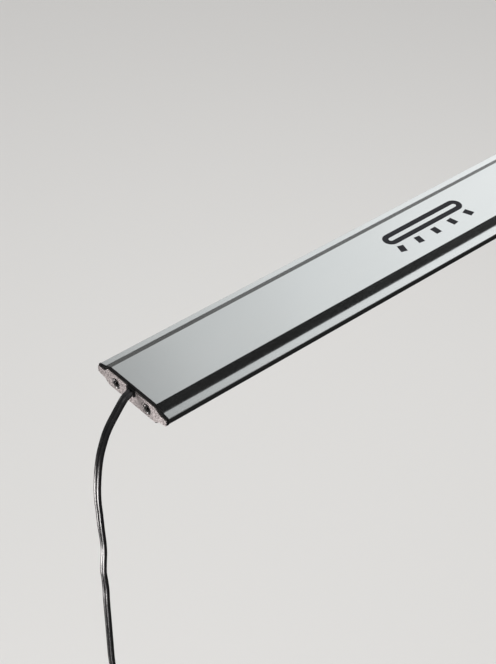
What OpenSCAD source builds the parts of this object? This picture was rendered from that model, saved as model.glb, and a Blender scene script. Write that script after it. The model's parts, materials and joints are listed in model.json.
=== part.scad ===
// Slim LED light bar: an aluminium extrusion with a clip wing along each side, sealed end
// plates, an LED board behind an opal lens on the underside, and a flat twin supply lead.
// Frame: origin at the centre of the flat top face, +X along the bar, away from the lead,
// +Y across it, +Z out of the top face. Millimetres.

/* [Extrusion] */
// Length of the aluminium extrusion
bar_l = 360; // [240:10:600]
// Width over both wings
bar_w = 50; // [48:0.5:54]
// Height from the top face to the underside
bar_h = 10.4; // [10.2:0.1:12]
// Half width of the flat top face
top_half = 16.4; // [15.5:0.1:17]
// Distance from the centre line to the foot of the sloping flank
foot_y = 20.7; // [19.5:0.1:21.5]
// Drop from the top face to the foot of the flank
foot_drop = 2.1; // [1.6:0.1:2.6]
// Drop from the top face to the outer edge of a wing
tip_drop = 3.0; // [2.6:0.1:3.4]
// Thickness of a wing at its outer edge
tip_t = 3.7; // [3:0.1:4.2]
// Thickness of the top wall
top_wall = 1.4; // [1.2:0.1:1.5]

/* [Ends] */
// Thickness of an end plate
plate_t = 0.6; // [0.5:0.1:0.9]
// Thickness of a squeezed end gasket
gasket_t = 1.0; // [0.8:0.1:1.4]
// Distance of each end screw from the centre line
screw_y = 11.3; // [10.9:0.1:11.7]
// Depth of the end screws below the top face
screw_drop = 5.5; // [5.2:0.1:5.7]
// Head diameter of an end screw
screw_head_d = 4.7; // [4:0.1:5]
// Length of an end screw under its head
screw_l = 10; // [6:1:16]

/* [Light] */
// Width of the opal lens between the lips
lens_w = 28.6; // [28:0.1:28.8]
// Width of the LED board
board_w = 15; // [12:0.5:16]
// Number of LEDs in the row
led_count = 24; // [12:3:24]
// Distance from one LED to the next
led_pitch = 13.5; // [11:0.5:13.5]

/* [Lead] */
// Width of the flat twin lead
lead_w = 4.4; // [4:0.1:4.6]
// Thickness of the flat twin lead
lead_t = 2.2; // [2:0.1:2.2]

/* [Hidden] */

$fn = 48;
// Steps of a rounded corner of an outline.
corner_steps = 10;
// Overshoot of a cut past the face that it opens.
past = 1;

// Outline of the extrusion.
tip_bottom = tip_drop + tip_t;
under_y = 20.2;
under_drop = 7.2;
belly_half = 16.4;

// Levels under the top face.
web_top = 3.9;
web_t = 1.0;
tape_t = 0.2;
tape_inset = 0.5;
board_t = 1.0;
tape_top = web_top + web_t;
board_top = tape_top + tape_t;
board_face = board_top + board_t;
groove_top = 8.0;
lens_top = 8.5;
flange_top = 8.8;
flange_bottom = 9.7;
lip_top = 9.8;

// Widths inside the extrusion, from the centre line.
cavity_half = 14.6;
groove_half = 15.5;
flange_half = 15.3;
mouth_gap = 0.2;
mouth_half = lens_w / 2 + mouth_gap;
seal_gap = 0.1;
chamber_in = 16.2;
chamber_out = 19.4;
chamber_top = 3.9;
chamber_bottom = 6.9;

// Ends.
end_x = bar_l / 2;
plate_in = end_x + gasket_t;
plate_out = plate_in + plate_t;
port_r = 1.25;
boss_r = 2.6;
shank_r = 1.22;
gasket_hole_r = 2.2;
head_r = screw_head_d / 2;
head_sunk = 0.35;
sink_gap = 0.03;
socket_across = 1.5;
socket_depth = 0.9;

// Outline of an end plate: it is a little smaller than the extrusion.
plate_top = 0.8;
plate_shoulder = 17.3;
plate_foot_y = 19.8;
plate_foot_drop = 3.0;
plate_tip_drop = 3.4;
plate_tip_bottom = 7.0;
plate_under_drop = 7.6;
plate_belly_half = 16.6;
plate_bottom = 9.8;

// Radii of the rounds along the bar and round a plate.
belly_round = 0.8;
under_round = 1.2;
tip_round = 1.3;
tip_edge_round = 0.25;
foot_round = 6;
plate_tip_edge_round = 0.6;
plate_foot_round = 1.0;
top_round = 0.5;
// How far a gasket's edge bulges past the extrusion.
gasket_bulge = 0.2;

// Where the lead enters: a notch in the plate and the gasket, open at the top.
lead_drop = 2.6;
notch_half = 2.8;
notch_bottom = 4.2;
notch_r = 1.2;
collar_t = 0.4;
collar_margin = 0.3;
flange_gap = 0.05;
// A flange of the grommet sits between the top wall and the web.
flange_l = 2;
flange_half_w = 4.5;
window_from = -end_x + 6;
window_l = 11;
window_half = 3.6;

// LED board: it stops short of the web's window.
board_from = -end_x + 19;
board_l = bar_l - 22;
led_from = board_from + 17;
led_l = 3.5;
led_w = 2.8;
led_t = 0.7;
pocket_l = 2.7;
pocket_w = 2.0;
pocket_t = 0.35;
phosphor_t = 0.3;
leds_per_group = 3;
resistor = [3.2, 1.6, 0.55];
resistor_y = 5;
diode = [2.7, 1.6, 1.1];
diode_at = [10, -5];
pad_x = board_from + 3;
pad_y = 2.5;
core_r = 0.7;
solder_r = 1.1;
solder_top_r = 0.6;
solder_h = 1.3;

// Printed mark: a generic bar with rays, sunk flush in the top face.
mark_t = 0.06;
mark_bar = [54, 9];
mark_line = 3.2;
mark_rays = 5;
mark_ray = [3.6, 5.2];
mark_ray_pitch = 11.5;
mark_ray_fan = 9;
mark_gap = 2.2;
mark_shift = [7.4, 3.7];

// Route of the lead in the plane of the bar's length, as distance past the extrusion's end
// and depth below the top face. It starts inside, comes out level, then hangs.
lead_route = [
  [-4, 2.6], [-2, 2.6], [0, 2.6], [1.6, 2.8], [3.1, 3.2], [4.5, 3.9], [5.9, 4.9], [8.2, 7.5],
  [10.4, 10.2], [12.8, 13.2], [15.1, 16.4], [17.2, 20.2], [19, 24.6], [20.7, 29.6], [22, 35.2],
  [23, 41.6], [23.8, 49], [24.1, 57.4], [23.8, 66], [23.6, 75], [23.1, 85], [23.1, 92],
  [23.8, 99], [24.3, 105], [24, 111], [23.8, 118], [24, 126], [24, 136], [24, 147], [24, 158],
  [24, 169], [24, 180], [24, 191]
];

// Hank: two loops of the lead above and below a tie.
loop_r = 13.2;
loop_h = 46;
hank_play = 0.3;
hank_half_depth = 4.8;
hank_mid = lead_route[len(lead_route) - 1][1] + loop_h + lead_t / 2 + hank_play;
loop_out = loop_r + lead_t / 2 + hank_play;
waist_half = 3.6;
waist_h = 1;
tie_h = 7;
tie_t = 1.2;
tie_gap = 1.4;

// Free end of the lead: it hangs below the hank, at its back, split into two bare-tipped cores.
tail_x = -end_x - 24;
tail_y = 2.4;
core_end_r = 1.05;
core_end_l = 12;
core_splay = 9;
tip_r = 0.5;
tip_l = 5;

// Route of a core inside, as distance from the lead's inner end and depth.
core_route = [[0.2, 2.6], [3, 2.6], [5.4, 3.3], [6.8, 4.7], [8, 6], [10, 6.8], [13, 6.95], [16.5, 6.95]];
core_run = 18;

function unit(v) = v / norm(v);

// Points of the round at corner b, between its neighbours a and c.
function corner_arc(a, b, c, r) =
  let (
    u = unit(a - b),
    v = unit(c - b),
    half = acos(u * v) / 2,
    centre = b + unit(u + v) * r / sin(half),
    start = b + u * r / tan(half) - centre,
    turn = (180 - 2 * half) * sign(cross(b - a, c - b)),
    first = atan2(start[1], start[0])
  )
  [for (i = [0:corner_steps]) let (w = first + turn * i / corner_steps)
    centre + r * [cos(w), sin(w)]];

// Outline through corners given as [across, up, radius].
function rounded(corners) =
  let (n = len(corners), at = [for (p = corners) [p[0], p[1]]])
  [for (i = [0:n - 1]) each corner_arc(at[(i + n - 1) % n], at[i], at[(i + 1) % n], corners[i][2])];

// Cross-section from the corners of its right half, bottom to top.
function both_sides(right) =
  rounded(concat(right, [for (i = [len(right) - 1:-1:0]) [-right[i][0], right[i][1], right[i][2]]]));

// Cross-section of the extrusion; a gasket's bulges past it on every side but the top and tips.
function bar_section(bulge = 0) = both_sides([
  [belly_half + bulge, -bar_h - bulge, belly_round],
  [under_y + bulge, -under_drop - bulge, under_round],
  [bar_w / 2, -tip_bottom - bulge, tip_round],
  [bar_w / 2, -tip_drop + bulge, tip_edge_round],
  [foot_y + bulge, -foot_drop + bulge, foot_round],
  [top_half + bulge, 0, top_round]
]);

plate_section = both_sides([
  [plate_belly_half, -plate_bottom, belly_round],
  [under_y, -plate_under_drop, under_round],
  [bar_w / 2, -plate_tip_bottom, tip_round],
  [bar_w / 2, -plate_tip_drop, plate_tip_edge_round],
  [plate_foot_y, -plate_foot_drop, plate_foot_round],
  [plate_shoulder, -plate_top, top_round]
]);

module along_x(from, length) {
  translate([from, 0, 0]) rotate([90, 0, 90]) linear_extrude(length) children();
}

module box_2d(half, top, bottom) {
  translate([-half, -bottom]) square([2 * half, bottom - top]);
}

module both_y() {
  children();
  mirror([0, 1, 0]) children();
}

module both_sides_2d() {
  children();
  mirror([1, 0]) children();
}

// --- Printed mark ---------------------------------------------------------------------------

module bar_outline() {
  r = mark_bar[1] / 2;
  square([mark_bar[0] - 2 * r, mark_bar[1]], center = true);
  for (side = [-1, 1]) translate([side * (mark_bar[0] / 2 - r), 0]) circle(r);
}

module bar_inner() {
  r = mark_bar[1] / 2 - mark_line;
  flat = mark_bar[0] - mark_bar[1];
  square([flat, 2 * r], center = true);
  for (side = [-1, 1]) translate([side * flat / 2, 0]) circle(r);
}

module mark_2d() {
  translate(mark_shift) difference() {
    bar_outline();
    bar_inner();
  }
  for (i = [0:mark_rays - 1]) {
    step = i - (mark_rays - 1) / 2;
    ray_top = mark_shift[1] - mark_bar[1] / 2 - mark_gap;
    translate([mark_shift[0] + step * mark_ray_pitch, ray_top]) rotate(step * mark_ray_fan)
      translate([-mark_ray[0] / 2, -mark_ray[1]]) square(mark_ray);
  }
}

module top_mark() {
  color("#2a2b2f") translate([0, 0, -mark_t]) linear_extrude(mark_t) mark_2d();
}

// --- Extrusion ------------------------------------------------------------------------------

module hollows_2d() {
  difference() {
    box_2d(cavity_half, top_wall, groove_top);
    box_2d(cavity_half, web_top, web_top + web_t);
    both_sides_2d() translate([screw_y, -screw_drop]) circle(boss_r);
  }
  box_2d(groove_half, groove_top, lip_top);
  box_2d(mouth_half, lip_top, bar_h + past);
  both_sides_2d() translate([chamber_in, -chamber_bottom])
    square([chamber_out - chamber_in, chamber_bottom - chamber_top]);
}

module housing() {
  color("#c9cdcd") difference() {
    along_x(-end_x, bar_l) difference() {
      polygon(bar_section());
      hollows_2d();
    }
    both_y() translate([-end_x - past, screw_y, -screw_drop]) rotate([0, 90, 0])
      cylinder(h = bar_l + 2 * past, r = port_r);
    translate([window_from, -window_half, -web_top - web_t - past / 2])
      cube([window_l, 2 * window_half, web_t + past]);
    translate([0, 0, -mark_t]) linear_extrude(mark_t + past) mark_2d();
  }
}

// --- Ends -----------------------------------------------------------------------------------

module plate_2d() {
  polygon(plate_section);
}

module gasket_2d() {
  polygon(bar_section(gasket_bulge));
}

module notch_2d(margin = 0) {
  half = notch_half + margin;
  translate([-half, -notch_bottom - margin + notch_r])
    square([2 * half, notch_bottom + margin]);
  translate([-half + notch_r, -notch_bottom - margin])
    square([2 * (half - notch_r), notch_r + past]);
  both_sides_2d() translate([half - notch_r, -notch_bottom - margin + notch_r]) circle(notch_r);
}

// Children drawn on both screw axes of one end, +Z pointing out from the plate's outer face.
// side is -1 at the lead's end.
module at_screws(side) {
  both_y() translate([side * plate_out, screw_y, -screw_drop]) rotate([0, side * 90, 0]) children();
}

// Flat sheet of an end, whose inner face is at distance from.
module end_sheet(side, from, t) {
  along_x(side > 0 ? from : -from - t, t) difference() {
    children();
    if (side < 0) notch_2d();
  }
}

// Cut of a 90 degree countersink through a plate.
module countersink() {
  face_r = head_r + head_sunk + sink_gap;
  translate([0, 0, -plate_t - past])
    cylinder(h = plate_t + 2 * past, r1 = face_r - plate_t - past, r2 = face_r + past);
}

module end_plate(side) {
  color("#b9b0ae") difference() {
    end_sheet(side, plate_in, plate_t) plate_2d();
    at_screws(side) countersink();
  }
}

module end_plate_cable() {
  end_plate(-1);
}

module end_plate_blank() {
  end_plate(1);
}

module gasket(side) {
  color("#161616") difference() {
    end_sheet(side, end_x, gasket_t) gasket_2d();
    at_screws(side) translate([0, 0, -plate_t - gasket_t - past])
      cylinder(h = gasket_t + 2 * past, r = gasket_hole_r);
  }
}

module gasket_cable() {
  gasket(-1);
}

module gasket_blank() {
  gasket(1);
}

// A countersunk socket screw along -Z, its head sunk a little below the origin.
module screw() {
  head_h = head_r - shank_r;
  translate([0, 0, -head_sunk]) difference() {
    union() {
      translate([0, 0, -head_h]) cylinder(h = head_h, r1 = shank_r, r2 = head_r);
      translate([0, 0, -screw_l]) cylinder(h = screw_l - head_h / 2, r = shank_r);
    }
    translate([0, 0, -socket_depth])
      cylinder(h = socket_depth + past, r = socket_across / sqrt(3), $fn = 6);
  }
}

module end_screws(side) {
  at_screws(side) screw();
}

module end_screws_cable() {
  color("#2b2a2a") end_screws(-1);
}

module end_screws_blank() {
  color("#2b2a2a") end_screws(1);
}

// --- Light ----------------------------------------------------------------------------------

module thermal_tape() {
  color("#e8e4da") translate([board_from, tape_inset - board_w / 2, -board_top])
    cube([board_l, board_w - 2 * tape_inset, tape_t]);
}

module led_board() {
  color("#f2f2ee") translate([board_from, -board_w / 2, -board_face])
    cube([board_l, board_w, board_t]);
}

module each_led() {
  for (i = [0:led_count - 1]) translate([led_from + i * led_pitch, 0, -board_face]) children();
}

module led_packages() {
  color("#fbfbf7") each_led() difference() {
    translate([-led_l / 2, -led_w / 2, -led_t]) cube([led_l, led_w, led_t]);
    translate([-pocket_l / 2, -pocket_w / 2, -led_t - past]) cube([pocket_l, pocket_w, pocket_t + past]);
  }
}

module led_phosphors() {
  color("#f4d35e") each_led() translate([-pocket_l / 2, -pocket_w / 2, pocket_t - led_t])
    mirror([0, 0, 1]) cube([pocket_l, pocket_w, phosphor_t]);
}

module ballast_resistors() {
  color("#2c2c30") for (i = [1:leds_per_group:led_count - 1])
    translate([led_from + i * led_pitch - resistor[0] / 2, resistor_y - resistor[1] / 2, -board_face])
      mirror([0, 0, 1]) cube(resistor);
}

module polarity_diode() {
  color("#26262a") translate([board_from + diode_at[0], diode_at[1] - diode[1] / 2, -board_face])
    mirror([0, 0, 1]) cube(diode);
}

module solder_joints() {
  color("#c8c8c8") both_y() translate([pad_x, pad_y, -board_face - solder_h])
    cylinder(h = solder_h, r1 = solder_top_r, r2 = solder_r);
}

module lens() {
  color("#eef0ee") along_x(-end_x, bar_l) {
    box_2d(lens_w / 2, lens_top, bar_h);
    box_2d(flange_half, flange_top, flange_bottom);
  }
}

module lens_seal() {
  along_x(-end_x, bar_l) translate([cavity_half + seal_gap, -flange_top])
    square([groove_half - cavity_half - 2 * seal_gap, flange_top - groove_top]);
}

module lens_seal_left() {
  color("#dcdcdc") lens_seal();
}

module lens_seal_right() {
  color("#dcdcdc") mirror([0, 1, 0]) lens_seal();
}

// --- Lead -----------------------------------------------------------------------------------

// Half a flat side of the lead's cross-section: its edges are two half rounds.
flat_half = (lead_w - lead_t) / 2;
edge_steps = 4;
lead_section = [for (side = [1, -1], i = [0:edge_steps]) let (w = side * 90 - 180 * i / edge_steps)
  [side * flat_half + lead_t / 2 * cos(w), lead_t / 2 * sin(w)]];
core_section = [for (i = [0:7]) core_r * [cos(45 * i), -sin(45 * i)]];

// Places of the lead's route in the plane of X and Z.
function route_at(route) = [for (p = route) [-end_x - p[0], -p[1]]];

// Direction of a route at point i.
function heading(at, i) = unit(at[min(i + 1, len(at) - 1)] - at[max(i - 1, 0)]);

// Ring of a flat cross-section round point i: its width runs along Y.
function flat_ring(at, i, section) =
  let (d = heading(at, i), up = [-d[1], d[0]])
  [for (q = section) [at[i][0] + up[0] * q[1], q[0], at[i][1] + up[1] * q[1]]];

// Closed solid through rings of the same number of points.
module skin(rings) {
  n = len(rings[0]);
  last = len(rings) - 1;
  polyhedron(
    points = [for (r = rings) each r],
    faces = concat(
      [[for (k = [0:n - 1]) k]],
      [for (i = [0:last - 1], k = [0:n - 1])
        [i * n + k, (i + 1) * n + k, (i + 1) * n + (k + 1) % n, i * n + (k + 1) % n]],
      [[for (k = [n - 1:-1:0]) last * n + k]]
    )
  );
}

module cable_grommet() {
  color("#141414") difference() {
    union() {
      along_x(-plate_out, plate_t) intersection() {
        notch_2d();
        plate_2d();
      }
      along_x(-plate_in, gasket_t) intersection() {
        notch_2d();
        gasket_2d();
      }
      along_x(-plate_out - collar_t, collar_t) intersection() {
        notch_2d(collar_margin);
        box_2d(bar_w, plate_top, bar_h);
      }
      along_x(-end_x, flange_l) box_2d(flange_half_w, top_wall + flange_gap, web_top - flange_gap);
    }
    along_x(-plate_out - collar_t - past, flange_l + plate_t + gasket_t + collar_t + 2 * past)
      translate([0, -lead_drop]) polygon(lead_section);
  }
}

module lead() {
  at = route_at(lead_route);
  color("#101012") skin([for (i = [0:len(at) - 1]) flat_ring(at, i, lead_section)]);
}

module core(colour) {
  at = [for (p = core_route) [p[0], -p[1]]];
  inner_end = -end_x - lead_route[0][0];
  color(colour) translate([inner_end, flat_half, 0])
    rotate([0, 0, atan((pad_y - flat_half) / core_run)])
      skin([for (i = [len(at) - 1:-1:0]) flat_ring(at, i, core_section)]);
}

module core_positive() {
  core("#b3202a");
}

module core_negative() {
  mirror([0, 1, 0]) core("#1b1b1d");
}

// Half of the hank's outline: a loop narrowing to the waist, which both halves share at the tie.
module loop_2d() {
  hull() {
    translate([0, loop_h - loop_r]) circle(loop_out);
    translate([-waist_half, -waist_h / 2]) square([2 * waist_half, waist_h]);
  }
}

module hank_frame() {
  translate([tail_x, 0, -hank_mid]) rotate([90, 0, 0]) children();
}

module lead_hank() {
  color("#101012") hank_frame() translate([0, 0, -hank_half_depth])
    linear_extrude(2 * hank_half_depth) {
      loop_2d();
      mirror([0, 1]) loop_2d();
    }
}

module lead_tie() {
  tie_half = waist_half + tie_gap;
  color("#3a3a3d") hank_frame() difference() {
    cube([2 * (tie_half + tie_t), tie_h, 2 * (hank_half_depth + tie_t)], center = true);
    cube([2 * tie_half, tie_h + past, 2 * hank_half_depth], center = true);
  }
}

// Both split cores at the free end: children are drawn along -Z from the split.
module each_core_end() {
  translate([tail_x, tail_y, -hank_mid - loop_h + loop_r - loop_out])
    for (side = [-1, 1]) translate([0, side * flat_half, 0]) rotate([side * core_splay, 0, 0])
      mirror([0, 0, 1]) children();
}

module lead_core_ends() {
  color("#101012") each_core_end() cylinder(h = core_end_l, r = core_end_r);
}

module lead_tinned_tips() {
  color("#d0d0d0") each_core_end() translate([0, 0, core_end_l]) cylinder(h = tip_l, r = tip_r);
}

housing();
top_mark();
end_plate_cable();
end_plate_blank();
gasket_cable();
gasket_blank();
end_screws_cable();
end_screws_blank();
cable_grommet();
thermal_tape();
led_board();
led_packages();
led_phosphors();
ballast_resistors();
polarity_diode();
solder_joints();
core_positive();
core_negative();
lens();
lens_seal_left();
lens_seal_right();
lead();
lead_hank();
lead_tie();
lead_core_ends();
lead_tinned_tips();
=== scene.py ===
"""Looks of the LED light bar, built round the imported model. Metres, in the part's own frame:
origin on the flat top face, +X along the bar, away from the lead, +Z out of the top face."""

import json
import math

import bpy
import bmesh
from mathutils import Matrix, Vector, noise


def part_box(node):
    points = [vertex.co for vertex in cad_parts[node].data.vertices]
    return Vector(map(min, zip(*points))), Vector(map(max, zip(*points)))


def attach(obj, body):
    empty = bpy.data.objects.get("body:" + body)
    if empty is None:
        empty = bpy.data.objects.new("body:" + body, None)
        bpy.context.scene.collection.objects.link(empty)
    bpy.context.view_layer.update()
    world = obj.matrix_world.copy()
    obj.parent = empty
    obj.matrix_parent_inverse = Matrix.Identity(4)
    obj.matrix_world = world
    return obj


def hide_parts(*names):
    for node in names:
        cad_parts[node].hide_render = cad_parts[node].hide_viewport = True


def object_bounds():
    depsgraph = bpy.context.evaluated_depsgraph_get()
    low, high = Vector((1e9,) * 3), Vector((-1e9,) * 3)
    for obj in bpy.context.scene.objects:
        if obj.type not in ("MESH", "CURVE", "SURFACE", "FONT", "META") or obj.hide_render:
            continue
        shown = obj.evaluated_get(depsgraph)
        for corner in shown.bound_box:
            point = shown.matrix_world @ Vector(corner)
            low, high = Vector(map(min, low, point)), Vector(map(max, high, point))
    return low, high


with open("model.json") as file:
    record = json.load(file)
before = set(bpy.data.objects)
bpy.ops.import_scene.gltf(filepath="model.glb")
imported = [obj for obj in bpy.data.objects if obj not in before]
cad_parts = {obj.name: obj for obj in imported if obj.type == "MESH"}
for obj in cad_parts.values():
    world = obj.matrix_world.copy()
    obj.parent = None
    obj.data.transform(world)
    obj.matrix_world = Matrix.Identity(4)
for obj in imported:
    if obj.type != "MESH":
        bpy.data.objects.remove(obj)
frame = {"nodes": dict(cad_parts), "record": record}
cad_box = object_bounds()

MM = 0.001
BODY = "root"

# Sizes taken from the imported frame.
housing_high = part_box("housing")[1]
END_X = housing_high.x
plate_low, plate_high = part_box("end_plate_cable")
hank_low, hank_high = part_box("lead_hank")
HANK_MID = (hank_low.z + hank_high.z) / 2
LEAD_X = (hank_low.x + hank_high.x) / 2
core_low, core_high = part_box("lead_core_ends")
tip_low, tip_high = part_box("lead_tinned_tips")

# Screws: their axes and the radius of the countersinks at a plate's face.
screw_low, screw_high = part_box("end_screws_cable")
SCREW_HEAD_R = (screw_high.z - screw_low.z) / 2
SCREW_Y = screw_high.y - SCREW_HEAD_R
SCREW_DROP = -(screw_high.z + screw_low.z) / 2
SINK_R = SCREW_HEAD_R + 0.38 * MM

# Lead: two round cores side by side, joined by a thin web.
CORE_R = 1.1 * MM
WEB_HALF = 0.42 * MM
LOBE_STEPS = 12


# --- Camera ---------------------------------------------------------------------------------

# Where the camera stands, seen from the point it looks at.
CAMERA_AZIMUTH = math.radians(-40.75)
CAMERA_ELEVATION = math.radians(39.49)
CAMERA_DISTANCE = 0.7071
CAMERA_AIM = Vector((-0.1315, -0.0218, 0.0184))
LENS_MM = 85.94
SENSOR_MM = 36


def make_camera():
    back = Vector((
        math.sin(CAMERA_AZIMUTH) * math.cos(CAMERA_ELEVATION),
        -math.cos(CAMERA_AZIMUTH) * math.cos(CAMERA_ELEVATION),
        math.sin(CAMERA_ELEVATION),
    ))
    data = bpy.data.cameras.new("camera")
    data.lens, data.sensor_width = LENS_MM, SENSOR_MM
    camera = bpy.data.objects.new("camera", data)
    camera.rotation_mode = "QUATERNION"
    camera.location = CAMERA_AIM + back * CAMERA_DISTANCE
    camera.rotation_quaternion = (-back).to_track_quat("-Z", "Y")
    bpy.context.scene.collection.objects.link(camera)
    bpy.context.scene.camera = camera


make_camera()


# --- Mesh helpers ---------------------------------------------------------------------------

def finished(name, bm, material, nodes, smooth_angle=40):
    """A piece made from bm: it rides on the bar and stands for the CAD nodes."""
    bmesh.ops.remove_doubles(bm, verts=bm.verts, dist=1e-7)
    bmesh.ops.recalc_face_normals(bm, faces=bm.faces)
    mesh = bpy.data.meshes.new(name)
    bm.to_mesh(mesh)
    bm.free()
    mesh.shade_smooth()
    mesh.set_sharp_from_angle(angle=math.radians(smooth_angle))
    piece = bpy.data.objects.new(name, mesh)
    bpy.context.scene.collection.objects.link(piece)
    mesh.materials.append(material)
    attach(piece, BODY)
    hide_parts(*nodes)
    return piece


def bridge(bm, a, b):
    """Quads between two closed rings of vertices of the same length."""
    for i in range(len(a)):
        j = (i + 1) % len(a)
        bm.faces.new((a[i], a[j], b[j], b[i]))


def skin(bm, rings):
    """A tube through rings of points, with its ends closed by a face."""
    made = [[bm.verts.new(p) for p in ring] for ring in rings]
    for a, b in zip(made, made[1:]):
        bridge(bm, a, b)
    bm.faces.new(reversed(made[0]))
    bm.faces.new(made[-1])


def smooth_line(points, step):
    """Points about step apart on a Catmull-Rom curve through the given points."""
    ends = [2 * points[0] - points[1], *points, 2 * points[-1] - points[-2]]
    line = []
    for p0, p1, p2, p3 in zip(ends, ends[1:], ends[2:], ends[3:]):
        count = max(1, round((p2 - p1).length / step))
        for i in range(count):
            t = i / count
            line.append(0.5 * (
                2 * p1 + (p2 - p0) * t
                + (2 * p0 - 5 * p1 + 4 * p2 - p3) * t ** 2
                + (3 * p1 - p0 - 3 * p2 + p3) * t ** 3
            ))
    return line + [points[-1]]


def swept_rings(line, section, twist=lambda along: 0.0):
    """Rings of a section carried along a line; twist turns it, in radians, at a length along."""
    rings, along, side = [], 0.0, Vector((0, 1, 0))
    for i, place in enumerate(line):
        ahead = line[min(i + 1, len(line) - 1)] - line[max(i - 1, 0)]
        ahead.normalize()
        side = (side - ahead * side.dot(ahead)).normalized()
        up = ahead.cross(side)
        along += (place - line[max(i - 1, 0)]).length
        c, s = math.cos(twist(along)), math.sin(twist(along))
        rings.append([
            place + side * (a * c - b * s) + up * (a * s + b * c) for a, b in section
        ])
    return rings


def smoothstep(low, high, x):
    t = min(1.0, max(0.0, (x - low) / (high - low)))
    return t * t * (3 - 2 * t)


def circle(radius, count):
    turn = 2 * math.pi / count
    return [(radius * math.cos(turn * i), radius * math.sin(turn * i)) for i in range(count)]


def lead_section():
    """Outline of the flat twin lead: width across, thickness up."""
    start = math.asin(WEB_HALF / CORE_R)
    turn = (2 * math.pi - 2 * start) / LOBE_STEPS
    lobe = [math.pi - start - turn * i for i in range(LOBE_STEPS + 1)]
    right = [(CORE_R + CORE_R * math.cos(w), CORE_R * math.sin(w)) for w in lobe]
    return right + [(-a, -b) for a, b in right]


# --- Materials ------------------------------------------------------------------------------

class Nodes:
    """Short ways to add nodes to a tree."""

    def __init__(self, tree):
        self.tree = tree

    def node(self, kind, **values):
        node = self.tree.nodes.new(kind)
        for key, value in values.items():
            if key in node.inputs:
                node.inputs[key].default_value = value
            else:
                setattr(node, key, value)
        return node

    def link(self, source, target):
        self.tree.links.new(source, target)

    def ranged(self, source, low, high, to_low, to_high, smooth=False):
        node = self.node("ShaderNodeMapRange")
        node.interpolation_type = "SMOOTHSTEP" if smooth else "LINEAR"
        for i, value in enumerate((low, high, to_low, to_high), start=1):
            node.inputs[i].default_value = value
        self.link(source, node.inputs[0])
        return node.outputs[0]

    def maths(self, operation, a, b):
        node = self.node("ShaderNodeMath", operation=operation)
        for socket, value in zip(node.inputs, (a, b)):
            if isinstance(value, (int, float)):
                socket.default_value = value
            else:
                self.link(value, socket)
        return node.outputs[0]

    def mixed(self, factor, a, b):
        """Colour a where factor is 0, b where it is 1; each is a colour or a socket."""
        node = self.node("ShaderNodeMix", data_type="RGBA")
        self.link(factor, node.inputs[0])
        for socket, value in zip((node.inputs[6], node.inputs[7]), (a, b)):
            if isinstance(value, tuple):
                socket.default_value = (*value, 1)
            else:
                self.link(value, socket)
        return node.outputs[2]


class Look(Nodes):
    """A Principled material and short ways to add procedural detail to it."""

    def __init__(self, name, colour, roughness, metallic=0.0, **sockets):
        self.material = bpy.data.materials.new(name)
        self.material.use_nodes = True
        super().__init__(self.material.node_tree)
        self.shader = self.tree.nodes["Principled BSDF"]
        self.set("Base Color", (*colour, 1))
        self.set("Roughness", roughness)
        self.set("Metallic", metallic)
        for socket, value in sockets.items():
            self.set(socket.replace("_", " "), value)
        self.height = None

    def set(self, socket, value):
        self.shader.inputs[socket].default_value = value

    def place(self, stretch=(1, 1, 1)):
        """Coordinates in metres on the object, stretched along its axes."""
        at = self.node("ShaderNodeTexCoord")
        mapping = self.node("ShaderNodeMapping", Scale=stretch)
        self.link(at.outputs["Object"], mapping.inputs["Vector"])
        return mapping.outputs["Vector"]

    def grain(self, size, stretch=(1, 1, 1), detail=3.0, roughness=0.55):
        """Noise from 0 to 1 whose features are about size across."""
        node = self.node("ShaderNodeTexNoise", Scale=1 / size, Detail=detail, Roughness=roughness)
        self.link(self.place(stretch), node.inputs["Vector"])
        return node.outputs["Fac"]

    def spots(self, size, stretch=(1, 1, 1)):
        """Distance to the nearest of scattered points, from 0 at a point."""
        node = self.node("ShaderNodeTexVoronoi", Scale=1 / size)
        self.link(self.place(stretch), node.inputs["Vector"])
        return node.outputs["Distance"]

    def coloured(self, source):
        self.link(source, self.shader.inputs["Base Color"])
        return self

    def rough(self, source):
        self.link(source, self.shader.inputs["Roughness"])
        return self

    def bumped(self, source, depth):
        """Adds bumps; depth is their height in metres where source goes from 0 to 1."""
        node = self.node("ShaderNodeBump", Strength=1.0, Distance=depth)
        self.link(source, node.inputs["Height"])
        if self.height is not None:
            self.link(self.height, node.inputs["Normal"])
        self.height = node.outputs["Normal"]
        self.link(self.height, self.shader.inputs["Normal"])
        return self

    def edge(self, radius):
        """1 on a sharp edge, 0 away from it."""
        bevel = self.node("ShaderNodeBevel", samples=4, Radius=radius)
        at = self.node("ShaderNodeNewGeometry")
        dot = self.node("ShaderNodeVectorMath", operation="DOT_PRODUCT")
        self.link(bevel.outputs[0], dot.inputs[0])
        self.link(at.outputs["Normal"], dot.inputs[1])
        return self.ranged(dot.outputs["Value"], 0.995, 0.85, 0, 1)


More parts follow.
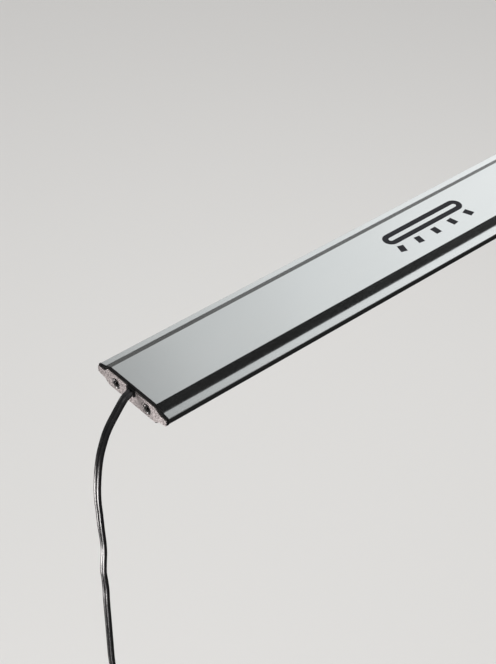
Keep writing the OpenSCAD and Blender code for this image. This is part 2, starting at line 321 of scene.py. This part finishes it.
def anodised_aluminium():
    look = Look("anodised_aluminium", (0.80, 0.82, 0.82), 0.25, 1.0)
    drawn = look.grain(0.35 * MM, (0.02, 1, 1), 4)
    broad = look.grain(22 * MM, (0.3, 1, 1), 2)
    fine = look.grain(0.1 * MM, detail=2)
    scratch = look.spots(6 * MM, (0.05, 1, 1))
    scratched = look.ranged(scratch, 0.0, 0.008, 0.8, 0, True)
    tone = look.mixed(
        look.ranged(drawn, 0.3, 0.7, 0, 1), (0.79, 0.812, 0.812), (0.815, 0.835, 0.835)
    )
    tone = look.mixed(look.ranged(broad, 0.35, 0.65, 0, 0.5), tone, (0.79, 0.815, 0.822))
    tone = look.mixed(scratched, tone, (0.88, 0.89, 0.89))
    look.coloured(look.mixed(look.edge(0.15 * MM), tone, (0.9, 0.91, 0.91)))
    level = look.maths(
        "ADD",
        look.ranged(drawn, 0.25, 0.75, 0.175, 0.205),
        look.ranged(fine, 0.3, 0.7, -0.02, 0.03),
    )
    look.rough(look.maths("ADD", level, look.ranged(broad, 0.3, 0.7, -0.01, 0.01)))
    look.bumped(drawn, 0.0012 * MM).bumped(fine, 0.0012 * MM)
    return look.material


def blasted_plate():
    """Bead-blasted sheet whose countersinks were cut afterwards, so they are bright."""
    look = Look("blasted_plate", (0.6, 0.55, 0.54), 0.5, 1.0)
    at = look.node("ShaderNodeSeparateXYZ")
    look.link(look.place(), at.inputs[0])
    across = look.maths("SUBTRACT", look.maths("ABSOLUTE", at.outputs["Y"], 0), SCREW_Y)
    up = look.maths("ADD", at.outputs["Z"], SCREW_DROP)
    off_axis = look.maths(
        "SQRT", look.maths("ADD", look.maths("POWER", across, 2), look.maths("POWER", up, 2)), 0
    )
    machined = look.ranged(off_axis, SINK_R + 0.02 * MM, SINK_R + 0.05 * MM, 1, 0)
    coarse = look.grain(2.2 * MM, detail=3)
    grit = look.grain(0.42 * MM, detail=1, roughness=0.4)
    fine = look.grain(0.16 * MM, detail=1)
    pits = look.spots(0.5 * MM)
    tone = look.mixed(
        look.ranged(grit, 0.38, 0.62, 0, 1), (0.15, 0.136, 0.134), (0.60, 0.556, 0.55)
    )
    tone = look.mixed(look.ranged(pits, 0.0, 0.22, 0.7, 0, True), tone, (0.15, 0.13, 0.13))
    tone = look.mixed(look.ranged(coarse, 0.35, 0.65, 0, 0.3), tone, (0.40, 0.37, 0.365))
    tone = look.mixed(look.edge(0.14 * MM), tone, (0.60, 0.56, 0.55))
    look.coloured(look.mixed(machined, tone, (0.62, 0.60, 0.59)))
    blasted = look.ranged(grit, 0.3, 0.7, 0.60, 0.46)
    look.rough(look.maths(
        "ADD",
        look.maths("MULTIPLY", blasted, look.ranged(machined, 0, 1, 1, 0.3)),
        look.ranged(fine, 0.3, 0.7, -0.02, 0.02),
    ))
    look.bumped(grit, 0.022 * MM).bumped(fine, 0.008 * MM)
    return look.material


def black_rubber():
    look = Look("black_rubber", (0.008, 0.008, 0.008), 0.6, Specular_IOR_Level=0.12)
    skin_grain = look.grain(0.35 * MM)
    dust = look.grain(3 * MM, detail=5)
    look.coloured(look.mixed(
        look.ranged(dust, 0.5, 0.75, 0, 0.5), (0.007, 0.007, 0.007), (0.022, 0.021, 0.020)
    ))
    look.rough(look.ranged(skin_grain, 0.3, 0.7, 0.5, 0.72))
    return look.bumped(skin_grain, 0.03 * MM).material


def black_screw():
    look = Look("black_screw", (0.03, 0.028, 0.028), 0.3, 1.0)
    grain = look.grain(0.15 * MM)
    worn = look.maths("MULTIPLY", look.edge(0.12 * MM), look.ranged(grain, 0.35, 0.6, 0.2, 1))
    look.coloured(look.mixed(worn, (0.016, 0.015, 0.015), (0.22, 0.21, 0.205)))
    look.rough(look.ranged(grain, 0.3, 0.7, 0.24, 0.4))
    return look.bumped(grain, 0.01 * MM).material


def black_print():
    look = Look("black_print", (0.015, 0.015, 0.018), 0.5, Specular_IOR_Level=0.15)
    grain = look.grain(0.3 * MM)
    holes = look.spots(1.4 * MM)
    tone = look.mixed(
        look.ranged(grain, 0.35, 0.7, 0, 1), (0.010, 0.010, 0.013), (0.020, 0.020, 0.024)
    )
    worn = look.ranged(holes, 0.0, 0.05, 0.6, 0, True)
    look.coloured(look.mixed(worn, tone, (0.25, 0.25, 0.26)))
    look.rough(look.ranged(grain, 0.3, 0.7, 0.46, 0.60))
    return look.bumped(grain, 0.01 * MM).material


def black_pvc():
    look = Look("black_pvc", (0.007, 0.007, 0.008), 0.22, Specular_IOR_Level=1.0)
    along = look.grain(1.4 * MM, (1, 1, 0.12), 3)
    fine = look.grain(0.25 * MM)
    scuff = look.grain(7 * MM, detail=5)
    look.coloured(look.mixed(
        look.ranged(scuff, 0.55, 0.8, 0, 0.6), (0.006, 0.006, 0.007), (0.022, 0.021, 0.020)
    ))
    look.rough(look.maths(
        "ADD", look.ranged(along, 0.3, 0.7, 0.16, 0.26), look.ranged(scuff, 0.55, 0.8, 0, 0.2)
    ))
    return look.bumped(along, 0.05 * MM).bumped(fine, 0.008 * MM).material


def opal_acrylic():
    look = Look(
        "opal_acrylic", (0.86, 0.87, 0.85), 0.3,
        Subsurface_Weight=0.5, Subsurface_Scale=0.002, Subsurface_Radius=(1.0, 1.0, 0.9),
    )
    drawn = look.grain(0.8 * MM, (0.01, 1, 1))
    cloud = look.grain(16 * MM, (0.3, 1, 1))
    look.coloured(look.mixed(
        look.ranged(cloud, 0.35, 0.65, 0, 1), (0.84, 0.85, 0.83), (0.88, 0.885, 0.87)
    ))
    look.rough(look.ranged(drawn, 0.3, 0.7, 0.24, 0.36))
    return look.bumped(drawn, 0.006 * MM).material


def speckled(name, low, high, size, roughness, bump, metallic=0.0):
    """A plain material that varies between two colours, with a little bump of the same grain."""
    look = Look(name, low, roughness[0], metallic)
    grain = look.grain(size)
    look.coloured(look.mixed(look.ranged(grain, 0.32, 0.68, 0, 1), low, high))
    look.rough(look.ranged(grain, 0.3, 0.7, *roughness))
    return look.bumped(grain, bump).material


def hook_loop():
    look = Look("hook_loop", (0.03, 0.03, 0.033), 0.9, Sheen_Weight=0.6, Sheen_Roughness=0.5)
    loops = look.spots(0.45 * MM)
    fuzz = look.grain(0.2 * MM, detail=5)
    # Lighter on the raised loops and darker between them, where the bump sinks: painted shade between
    # the loops.
    look.coloured(look.mixed(loops, (0.075, 0.075, 0.08), (0.014, 0.014, 0.016)))
    look.rough(look.ranged(fuzz, 0.3, 0.7, 0.8, 1.0))
    return look.bumped(look.ranged(loops, 0, 0.6, 1, 0), 0.16 * MM).bumped(fuzz, 0.08 * MM).material


MATERIALS = {
    "anodised_aluminium": anodised_aluminium(),
    "blasted_plate": blasted_plate(),
    "black_rubber": black_rubber(),
    "black_screw": black_screw(),
    "black_print": black_print(),
    "lead_black": black_pvc(),
    "opal": opal_acrylic(),
    "hook_loop": hook_loop(),
    "tape": speckled(
        "tape", (0.72, 0.70, 0.64), (0.82, 0.80, 0.75), 1.2 * MM, (0.7, 0.85), 0.02 * MM
    ),
    "board_white": speckled(
        "board_white", (0.80, 0.80, 0.77), (0.88, 0.88, 0.86), 2 * MM, (0.35, 0.5), 0.01 * MM
    ),
    "led_white": speckled(
        "led_white", (0.84, 0.83, 0.78), (0.9, 0.9, 0.87), 0.5 * MM, (0.4, 0.55), 0.01 * MM
    ),
    "phosphor": speckled(
        "phosphor", (0.86, 0.62, 0.10), (0.92, 0.74, 0.2), 0.3 * MM, (0.3, 0.5), 0.01 * MM
    ),
    "component_black": speckled(
        "component_black", (0.02, 0.02, 0.022), (0.045, 0.045, 0.05), 0.3 * MM, (0.4, 0.6), 0.01 * MM
    ),
    "solder": speckled(
        "solder", (0.62, 0.63, 0.64), (0.8, 0.8, 0.79), 0.4 * MM, (0.15, 0.35), 0.03 * MM, 1.0
    ),
    "core_red": speckled(
        "core_red", (0.38, 0.012, 0.016), (0.5, 0.02, 0.025), 1 * MM, (0.25, 0.4), 0.01 * MM
    ),
    "seal_grey": speckled(
        "seal_grey", (0.55, 0.55, 0.54), (0.68, 0.68, 0.67), 0.6 * MM, (0.5, 0.7), 0.02 * MM
    ),
}


SLOTS = {row["node"]: row["material_slot"] for row in frame["record"]["subparts"]}


def dress_nodes():
    """Gives each CAD node that stays the material of its slot in the record."""
    for name, node in frame["nodes"].items():
        node.data.materials.clear()
        node.data.materials.append(MATERIALS[SLOTS[name]])
        node.data.shade_smooth()
        node.data.set_sharp_from_angle(angle=math.radians(30))


# --- Lead -----------------------------------------------------------------------------------

# The route of part.scad, in millimetres: distance past the extrusion's end, and depth.
LEAD_ROUTE = [
    (-4, 2.6), (-2, 2.6), (0, 2.6), (1.6, 2.8), (3.1, 3.2), (4.5, 3.9), (5.9, 4.9), (8.2, 7.5),
    (10.4, 10.2), (12.8, 13.2), (15.1, 16.4), (17.2, 20.2), (19, 24.6), (20.7, 29.6), (22, 35.2),
    (23, 41.6), (23.8, 49), (24.1, 57.4), (23.8, 66), (23.6, 75), (23.1, 85), (23.1, 92),
    (23.8, 99), (24.3, 105), (24, 111), (23.8, 118), (24, 126), (24, 136), (24, 147), (24, 158),
    (24, 169),
]
# From there the lead moves aside to the hank: depth and sideways place, in millimetres.
TO_HANK = [(178, -0.7), (188, -1.9), (199, -2.4), (212, -2.4), (225, -2.4)]
# Below the last loop it comes back to the middle: drop below the tie and place along the bar.
FROM_HANK = [(0, 1.2), (12, 0.9), (24, 0.4), (36, 0.1)]
# Distance between points of the finished line.
LEAD_STEP = 1.3 * MM
# Where along the lead it turns a little about itself, over what length and how far.
TWIST_AT = 0.105
TWIST_SPREAD = 0.012
TWIST = math.radians(14)
# The hank: its strands pass the tie side by side, in front of and behind the middle.
STRAND_Y = 2.4 * MM
STRAND_X = 1.2 * MM
LOOP_H = 46 * MM
LOOP_HALF = 12.5 * MM
LOOP_STEPS = 28
# The widest place of the loop's formula below, as a share of its amplitude.
LOOP_WIDEST = 0.6495


def loop_points(way, side, x_from, x_to, y_from, y_to):
    """One loop of the hank, from the tie out and back: way is -1 below the tie, side is the
    side on which it leaves."""
    points = []
    for i in range(1, LOOP_STEPS):
        share = i / LOOP_STEPS
        u = 2 * math.pi * share
        out = side * LOOP_HALF / LOOP_WIDEST * math.sin(u) * (1 - math.cos(u)) / 2
        across = x_from + (x_to - x_from) * smoothstep(0, 1, share)
        y = y_from + (y_to - y_from) * smoothstep(0.55, 0.95, share)
        up = way * LOOP_H * (1 - math.cos(u)) / 2
        points.append(Vector((LEAD_X + out + across, y, HANK_MID + up)))
    return points


def lead_line():
    points = [Vector((-END_X - a * MM, 0, -b * MM)) for a, b in LEAD_ROUTE]
    for depth, y in TO_HANK:
        points.append(Vector((LEAD_X, y * MM, -depth * MM)))
    points.append(Vector((LEAD_X, -STRAND_Y, HANK_MID)))
    points += loop_points(-1, 1, 0, -STRAND_X, -STRAND_Y, STRAND_Y)
    points.append(Vector((LEAD_X - STRAND_X, STRAND_Y, HANK_MID)))
    points += loop_points(1, -1, -STRAND_X, STRAND_X, STRAND_Y, STRAND_Y)
    for drop, x in FROM_HANK:
        points.append(Vector((LEAD_X + x * MM, STRAND_Y, HANK_MID - drop * MM)))
    points.append(Vector((LEAD_X, STRAND_Y, hank_low.z)))
    return smooth_line(points, LEAD_STEP)


def lead_twist(along):
    """The lead turns a little about itself half way down to the hank, and back."""
    return TWIST * math.exp(-((along - TWIST_AT) / TWIST_SPREAD) ** 2)


def make_lead(others):
    line = lead_line()
    bm = bmesh.new()
    skin(bm, swept_rings(line, lead_section(), lead_twist))
    piece = finished("lead_cord", bm, MATERIALS["lead_black"], ["lead", "lead_hank"], 50)


def make_tie():
    """Hook-and-loop strap: a bit more than one turn, its end lapped over its start."""
    centre = Vector((LEAD_X, 0, HANK_MID))
    half_x, half_y, corner = 1.4 * MM, 3.5 * MM, 1.5 * MM
    thick, half_h, edge = 0.4 * MM, 3.4 * MM, 0.15 * MM
    around = []
    for k in range(4):
        for i in range(9):
            w = math.pi / 2 * (k + i / 8)
            sign_x, sign_y = (1, -1, -1, 1)[k], (1, 1, -1, -1)[k]
            around.append((
                Vector((sign_x * half_x, sign_y * half_y, 0))
                + Vector((math.cos(w), math.sin(w), 0)) * corner,
                Vector((math.cos(w), math.sin(w), 0)),
            ))
    section = [
        (-thick, -half_h + edge), (-thick, half_h - edge), (-thick + edge, half_h),
        (thick - edge, half_h), (thick, half_h - edge), (thick, -half_h + edge),
        (thick - edge, -half_h), (-thick + edge, -half_h),
    ]
    rings = []
    turn = len(around)
    for i in range(turn + 10):
        place, out = around[i % turn]
        lift = thick * (1.05 + 2.1 * smoothstep(turn - 6, turn + 1, i))
        wave = 0.12 * MM * math.sin(0.6 * i)
        rings.append([
            centre + place + out * (lift + t) + Vector((0, 0, h + wave)) for t, h in section
        ])
    bm = bmesh.new()
    skin(bm, rings)
    return finished("hook_loop_tie", bm, MATERIALS["hook_loop"], ["lead_tie"], 35)


def core_end_lines():
    """Centre lines of the two split cores, from the split to where the insulation ends."""
    spread = (core_high.y - core_low.y) / 2 - 2 * CORE_R
    long = core_high.z - core_low.z
    lines = []
    for side in (-1, 1):
        points = []
        for share in (-0.12, 0.0, 0.25, 0.5, 0.75, 1.0):
            out = side * (CORE_R + spread * max(0.0, share) ** 1.6)
            points.append(Vector((LEAD_X, STRAND_Y + out, core_high.z - long * share)))
        lines.append(smooth_line(points, 0.8 * MM))
    return lines


STRAND_R = 0.17 * MM
STRANDS_ROUND = 6
STRAND_TURNS = 1.4


def make_core_ends():
    cores, tips = bmesh.new(), bmesh.new()
    tip_long = tip_high.z - tip_low.z - 0.25 * MM
    for line in core_end_lines():
        rings = swept_rings(line, circle(0.96 * CORE_R, 16))
        skin(cores, rings)
        axis = (line[-1] - line[-2]).normalized()
        side = axis.cross(Vector((1, 0, 0))).normalized()
        front = axis.cross(side)
        for k in range(STRANDS_ROUND + 1):
            off = 0 if k == STRANDS_ROUND else 2.02 * STRAND_R
            strand = []
            for i in range(15):
                share = i / 14
                w = 2 * math.pi * (k / STRANDS_ROUND + STRAND_TURNS * share)
                reach = off * (1 - 0.35 * share ** 3)
                strand.append(
                    line[-1] + axis * (tip_long * share - 0.3 * MM * (1 - share))
                    + (side * math.cos(w) + front * math.sin(w)) * reach
                )
            skin(tips, swept_rings(strand, circle(STRAND_R, 8)))
    return [
        finished("split_cores", cores, MATERIALS["lead_black"], ["lead_core_ends"]),
        finished("tinned_strands", tips, MATERIALS["solder"], ["lead_tinned_tips"]),
    ]


# --- Gaskets and end plates -----------------------------------------------------------------

SLAB_STEP = 0.5 * MM
GASKET_ROWS = 7
EDGE_R = 0.12 * MM
PLATE_T = plate_high.x - plate_low.x
QUARTER = [math.pi / 8 * i for i in range(5)]
NOTCH_CLEAR = 3.2 * MM


def end_loops(name, x):
    """Closed outlines, as (y, z), of a CAD node's flat end at x, the longest first."""
    node = frame["nodes"][name]
    bm = bmesh.new()
    bm.from_mesh(node.data)
    bm.transform(node.matrix_world)
    bmesh.ops.remove_doubles(bm, verts=bm.verts, dist=1e-6)

    def at_end(verts):
        return all(abs(v.co.x - x) < 1e-5 for v in verts)

    near = {}
    for edge in bm.edges:
        if at_end(edge.verts) and not all(at_end(f.verts) for f in edge.link_faces):
            a, b = edge.verts
            near.setdefault(a, []).append(b)
            near.setdefault(b, []).append(a)
    loops = []
    while near:
        before = None
        here = next(iter(near))
        loop = []
        while here in near:
            loop.append((here.co.y, here.co.z))
            ways = [v for v in near.pop(here) if v is not before]
            before, here = here, ways[0]
        loops.append(loop)
    bm.free()
    return sorted(loops, key=len, reverse=True)


def divided(loop, step):
    """The loop with its long sides cut into equal lengths of about step."""
    points = []
    for (y0, z0), (y1, z1) in zip(loop, loop[1:] + loop[:1]):
        count = max(1, round(math.hypot(y1 - y0, z1 - z0) / step))
        for i in range(count):
            points.append((y0 + (y1 - y0) * i / count, z0 + (z1 - z0) * i / count))
    return points


def outward(loop):
    """Unit directions pointing out of a loop at its points."""
    area = sum(a[0] * b[1] - b[0] * a[1] for a, b in zip(loop, loop[1:] + loop[:1]))
    sign = 1 if area > 0 else -1
    ways = []
    for before, after in zip(loop[-1:] + loop[:-1], loop[1:] + loop[:1]):
        y, z = after[0] - before[0], after[1] - before[1]
        long = math.hypot(y, z) or 1.0
        ways.append((sign * z / long, -sign * y / long))
    return ways


def squeezed(y, z, share, seed):
    """How far rubber bulges out at a place on the edge; share is 0 to 1 through its thickness."""
    if abs(y) < NOTCH_CLEAR and z > -5 * MM:
        return 0.0
    place = Vector((y, z, 0)) / (2.2 * MM) + Vector((seed, 0, share))
    lump = 0.10 + 0.16 * max(0.0, noise.noise(place)) + 0.05 * noise.noise(place * 4)
    return lump * MM * math.sin(math.pi * (0.1 + 0.8 * share)) - 0.02 * MM


def make_slab(name, x_in, x_out, rows, push, suffix):
    """Rebuilds a flat end piece from its CAD outline and holes. rows are places through its
    thickness from 0 to 1, and push(y, z, row) is how far its edge stands out there."""
    outer, *holes = end_loops(name, x_in)
    outer = divided(outer, SLAB_STEP)
    ways = outward(outer)
    bm = bmesh.new()
    rings = []
    for row in rows:
        x = x_in + (x_out - x_in) * row
        ring = []
        for (y, z), (way_y, way_z) in zip(outer, ways):
            out = push(y, z, row)
            y = min(max(y + way_y * out, -housing_high.y), housing_high.y)
            ring.append(bm.verts.new((x, y, min(z + way_z * out, 0))))
        rings.append(ring)
    for a, b in zip(rings, rings[1:]):
        bridge(bm, a, b)
    ends = [[rings[0]], [rings[-1]]]
    for hole in holes:
        mouth = [bm.verts.new((x_in, y, z)) for y, z in hole]
        centre = sum((v.co for v in mouth), Vector()) / len(mouth)
        far = min(end_loops(name, x_out)[1:], key=lambda lo: abs(lo[0][0] - centre.y))
        scale = math.dist(far[0], (centre.y, centre.z)) / (mouth[0].co - centre).length
        end = []
        for v in mouth:
            wide = centre + (v.co - centre) * scale
            end.append(bm.verts.new((x_out, wide.y, wide.z)))
        bridge(bm, mouth, end)
        ends[0].append(mouth)
        ends[1].append(end)
    for loops in ends:
        edges = [bm.edges.get((a, b)) for loop in loops for a, b in zip(loop, loop[1:] + loop[:1])]
        bmesh.ops.triangle_fill(bm, edges=edges, use_beauty=True, use_dissolve=False)
    slot = SLOTS[name]
    piece = finished(f"{name}_{suffix}", bm, MATERIALS[slot], [name], 50)
    for face in piece.data.polygons:
        face.use_smooth = abs(face.normal.x) < 0.999


def rounded_edge(y, z, row):
    """Inset of a plate's edge near its outer face, as a quarter circle."""
    above = max(0.0, (row - 1) * PLATE_T + EDGE_R) / EDGE_R
    return -EDGE_R * (1 - math.sqrt(max(0.0, 1 - above ** 2)))


def make_end_pieces():
    for end, side, seed in (("cable", -1, 3), ("blank", 1, 8)):
        reach = 0 if side < 0 else 1
        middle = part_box(f"gasket_{end}")[reach].x
        rows = [i / (GASKET_ROWS - 1) for i in range(GASKET_ROWS)]
        make_slab(
            f"gasket_{end}", side * END_X, middle, rows,
            lambda y, z, row: squeezed(y, z, row, seed), "rubber",
        )
        rows = [0.0] + [1 - EDGE_R / PLATE_T * (1 - math.sin(w)) for w in QUARTER]
        make_slab(
            f"end_plate_{end}", middle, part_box(f"end_plate_{end}")[reach].x, rows,
            rounded_edge, "sheet",
        )


SOFT_EDGES = {
    "end_screws_cable": 0.08, "end_screws_blank": 0.08, "cable_grommet": 0.15,
}


def soften_edges():
    """Rounds the sharp edges of the pieces that show, by modifiers, so their meshes stay."""
    for name, width in SOFT_EDGES.items():
        node = frame["nodes"][name]
        weld = node.modifiers.new("weld", "WELD")
        weld.merge_threshold = 1e-6
        bevel = node.modifiers.new("soft_edges", "BEVEL")
        bevel.width = width * MM
        bevel.segments = 2
        bevel.limit_method = "ANGLE"
        bevel.angle_limit = math.radians(35)
        bevel.harden_normals = True


# --- Stage ----------------------------------------------------------------------------------

FLOOR_DROP = 0.45
# The lights face this place on the bar.
LIT_CENTRE = Vector((-0.05, 0, 0))
SOFTBOX_STRIPS = 6
SOFTBOX_STEP = 0.16
SOFTBOX_FROM = -0.46
SOFTBOX_LONG = 1.26
# Radiance of the first strip, how much the last one adds, and how quickly it rises.
SOFTBOX_DIM = 0.45
SOFTBOX_GAIN = 0.71
SOFTBOX_CURVE = 0.75
# Brightness of the room, of its side past the lead, and below the horizon.
ROOM = 0.42
ROOM_LEFT = 0.17
ROOM_BELOW = 0.11
# Dark flags: direction, cosine where each is fully dark, and what it leaves of the room.
FLAGS = (
    ((0.53, -0.15, 0.835), 0.93, 0.02),
    ((0.5, -0.6, -0.63), 0.95, 0.13),
    ((0.57, 0.59, 0.57), 0.86, 0.04),
)
FLAG_EDGE = 0.09


def make_floor():
    floor_z = cad_box[0].z - FLOOR_DROP
    bpy.ops.mesh.primitive_plane_add(size=12, location=(0, 0, floor_z))
    floor = bpy.context.object
    floor.name = "floor"
    look = Look("floor_paper", (0.60, 0.592, 0.58), 0.9, Specular_IOR_Level=0.1)
    look.set("Emission Color", (1, 0.99, 0.975, 1))
    look.set("Emission Strength", 0.12)
    # The paper is open to a camera below it.
    see_through = look.node("ShaderNodeBsdfTransparent")
    side = look.node("ShaderNodeNewGeometry")
    mix = look.node("ShaderNodeMixShader")
    look.link(side.outputs["Backfacing"], mix.inputs[0])
    look.link(look.shader.outputs[0], mix.inputs[1])
    look.link(see_through.outputs[0], mix.inputs[2])
    look.link(mix.outputs[0], look.tree.nodes["Material Output"].inputs["Surface"])
    floor.data.materials.append(look.material)
    floor.visible_glossy = False


def area_light(
    name, direction, distance, size, radiance, across, colour=(1, 1, 1), glossy=True,
    shift=Vector((0, 0, 0)),
):
    """A rectangular light that faces the bar; across is the direction of its first side."""
    facing = Vector(direction).normalized()
    side = Vector(across)
    side = (side - facing * side.dot(facing)).normalized()
    data = bpy.data.lights.new(name, "AREA")
    data.shape, data.size, data.size_y = "RECTANGLE", *size
    data.energy = radiance * math.pi * size[0] * size[1]
    data.color = colour
    light = bpy.data.objects.new(name, data)
    light.location = facing * distance + shift + LIT_CENTRE
    light.rotation_mode = "QUATERNION"
    light.rotation_quaternion = Matrix((side, facing.cross(side), facing)).transposed().to_quaternion()
    light.visible_camera = False
    light.visible_glossy = glossy
    bpy.context.scene.collection.objects.link(light)


def make_room():
    """A pale room, seen in the bar from most sides. It is dark behind the softbox and where
    the black flags of a product studio stand, and dimmer past the lead and near the floor."""
    world = bpy.data.worlds.new("world")
    bpy.context.scene.world = world
    world.use_nodes = True
    room = Nodes(world.node_tree)
    way = room.node("ShaderNodeTexCoord").outputs["Generated"]
    axes = room.node("ShaderNodeSeparateXYZ")
    room.link(way, axes.inputs[0])
    left = room.ranged(axes.outputs["X"], -0.2, -0.5, ROOM, ROOM_LEFT, True)
    up = room.ranged(axes.outputs["Z"], 0.02, 0.14, 0, 1, True)
    below = room.maths("MULTIPLY", room.maths("SUBTRACT", 1.0, up), ROOM_BELOW)
    bright = room.maths("ADD", room.maths("MULTIPLY", left, up), below)
    for flag, spread, left_over in FLAGS:
        near = room.node("ShaderNodeVectorMath", operation="DOT_PRODUCT")
        room.link(way, near.inputs[0])
        near.inputs[1].default_value = flag
        open_share = room.ranged(
            near.outputs["Value"], spread - FLAG_EDGE, spread, 1, left_over, True
        )
        bright = room.maths("MULTIPLY", bright, open_share)
    eye = room.node("ShaderNodeLightPath").outputs["Is Camera Ray"]
    seen = room.maths("MULTIPLY", eye, ROOM)
    rest = room.maths("MULTIPLY", bright, room.maths("SUBTRACT", 1.0, eye))
    room.link(room.maths("ADD", seen, rest), world.node_tree.nodes["Background"].inputs[1])
    world.node_tree.nodes["Background"].inputs[0].default_value = (1, 0.99, 0.975, 1)


def make_light():
    # The big softbox grows brighter away from the lead, so it is a row of strips.
    across, back = Vector((0, -0.71, 0.71)), Vector((0.66, 0.53, 0.53))
    along_bar = back.normalized().cross(across)
    for i in range(SOFTBOX_STRIPS):
        share = i / (SOFTBOX_STRIPS - 1)
        area_light(
            f"softbox_{i}", direction=back, distance=1.1, size=(SOFTBOX_LONG, SOFTBOX_STEP),
            radiance=SOFTBOX_DIM + SOFTBOX_GAIN * share ** SOFTBOX_CURVE, across=across,
            colour=(0.985, 1, 1), shift=along_bar * (SOFTBOX_FROM + SOFTBOX_STEP * i),
        )
    # Gives the lead its long highlight and lights the plate.
    area_light(
        "low_strip", direction=(-0.769, 0.067, -0.636), distance=0.62, size=(0.48, 0.2),
        radiance=12, across=(0, 1, 0), colour=(1, 0.96, 0.95), shift=Vector((-0.155, 0.07, -0.09)),
    )
    # Gives the screws the glint at their lower edge.
    area_light(
        "kicker", direction=(-0.636, 0.585, 0.504), distance=0.8, size=(0.26, 0.26),
        radiance=1.8, across=(1, 0, 0), shift=Vector((-0.132, 0, -0.006)),
    )
    # Lifts the far flank.
    area_light(
        "rim", direction=(0.77, 0.9, -0.1), distance=1.18, size=(0.62, 0.12), radiance=0.08,
        across=(1, 0, 0),
    )
    # Lights the floor, and isn't seen in the metal.
    area_light(
        "overhead", direction=(0, 0, 1), distance=2.4, size=(5, 5), radiance=1.5,
        across=(1, 0, 0), glossy=False,
    )


make_lead([make_tie(), *make_core_ends()])
make_end_pieces()
dress_nodes()
soften_edges()
make_floor()
make_room()
make_light()
bpy.context.scene.view_settings.view_transform = "Standard"
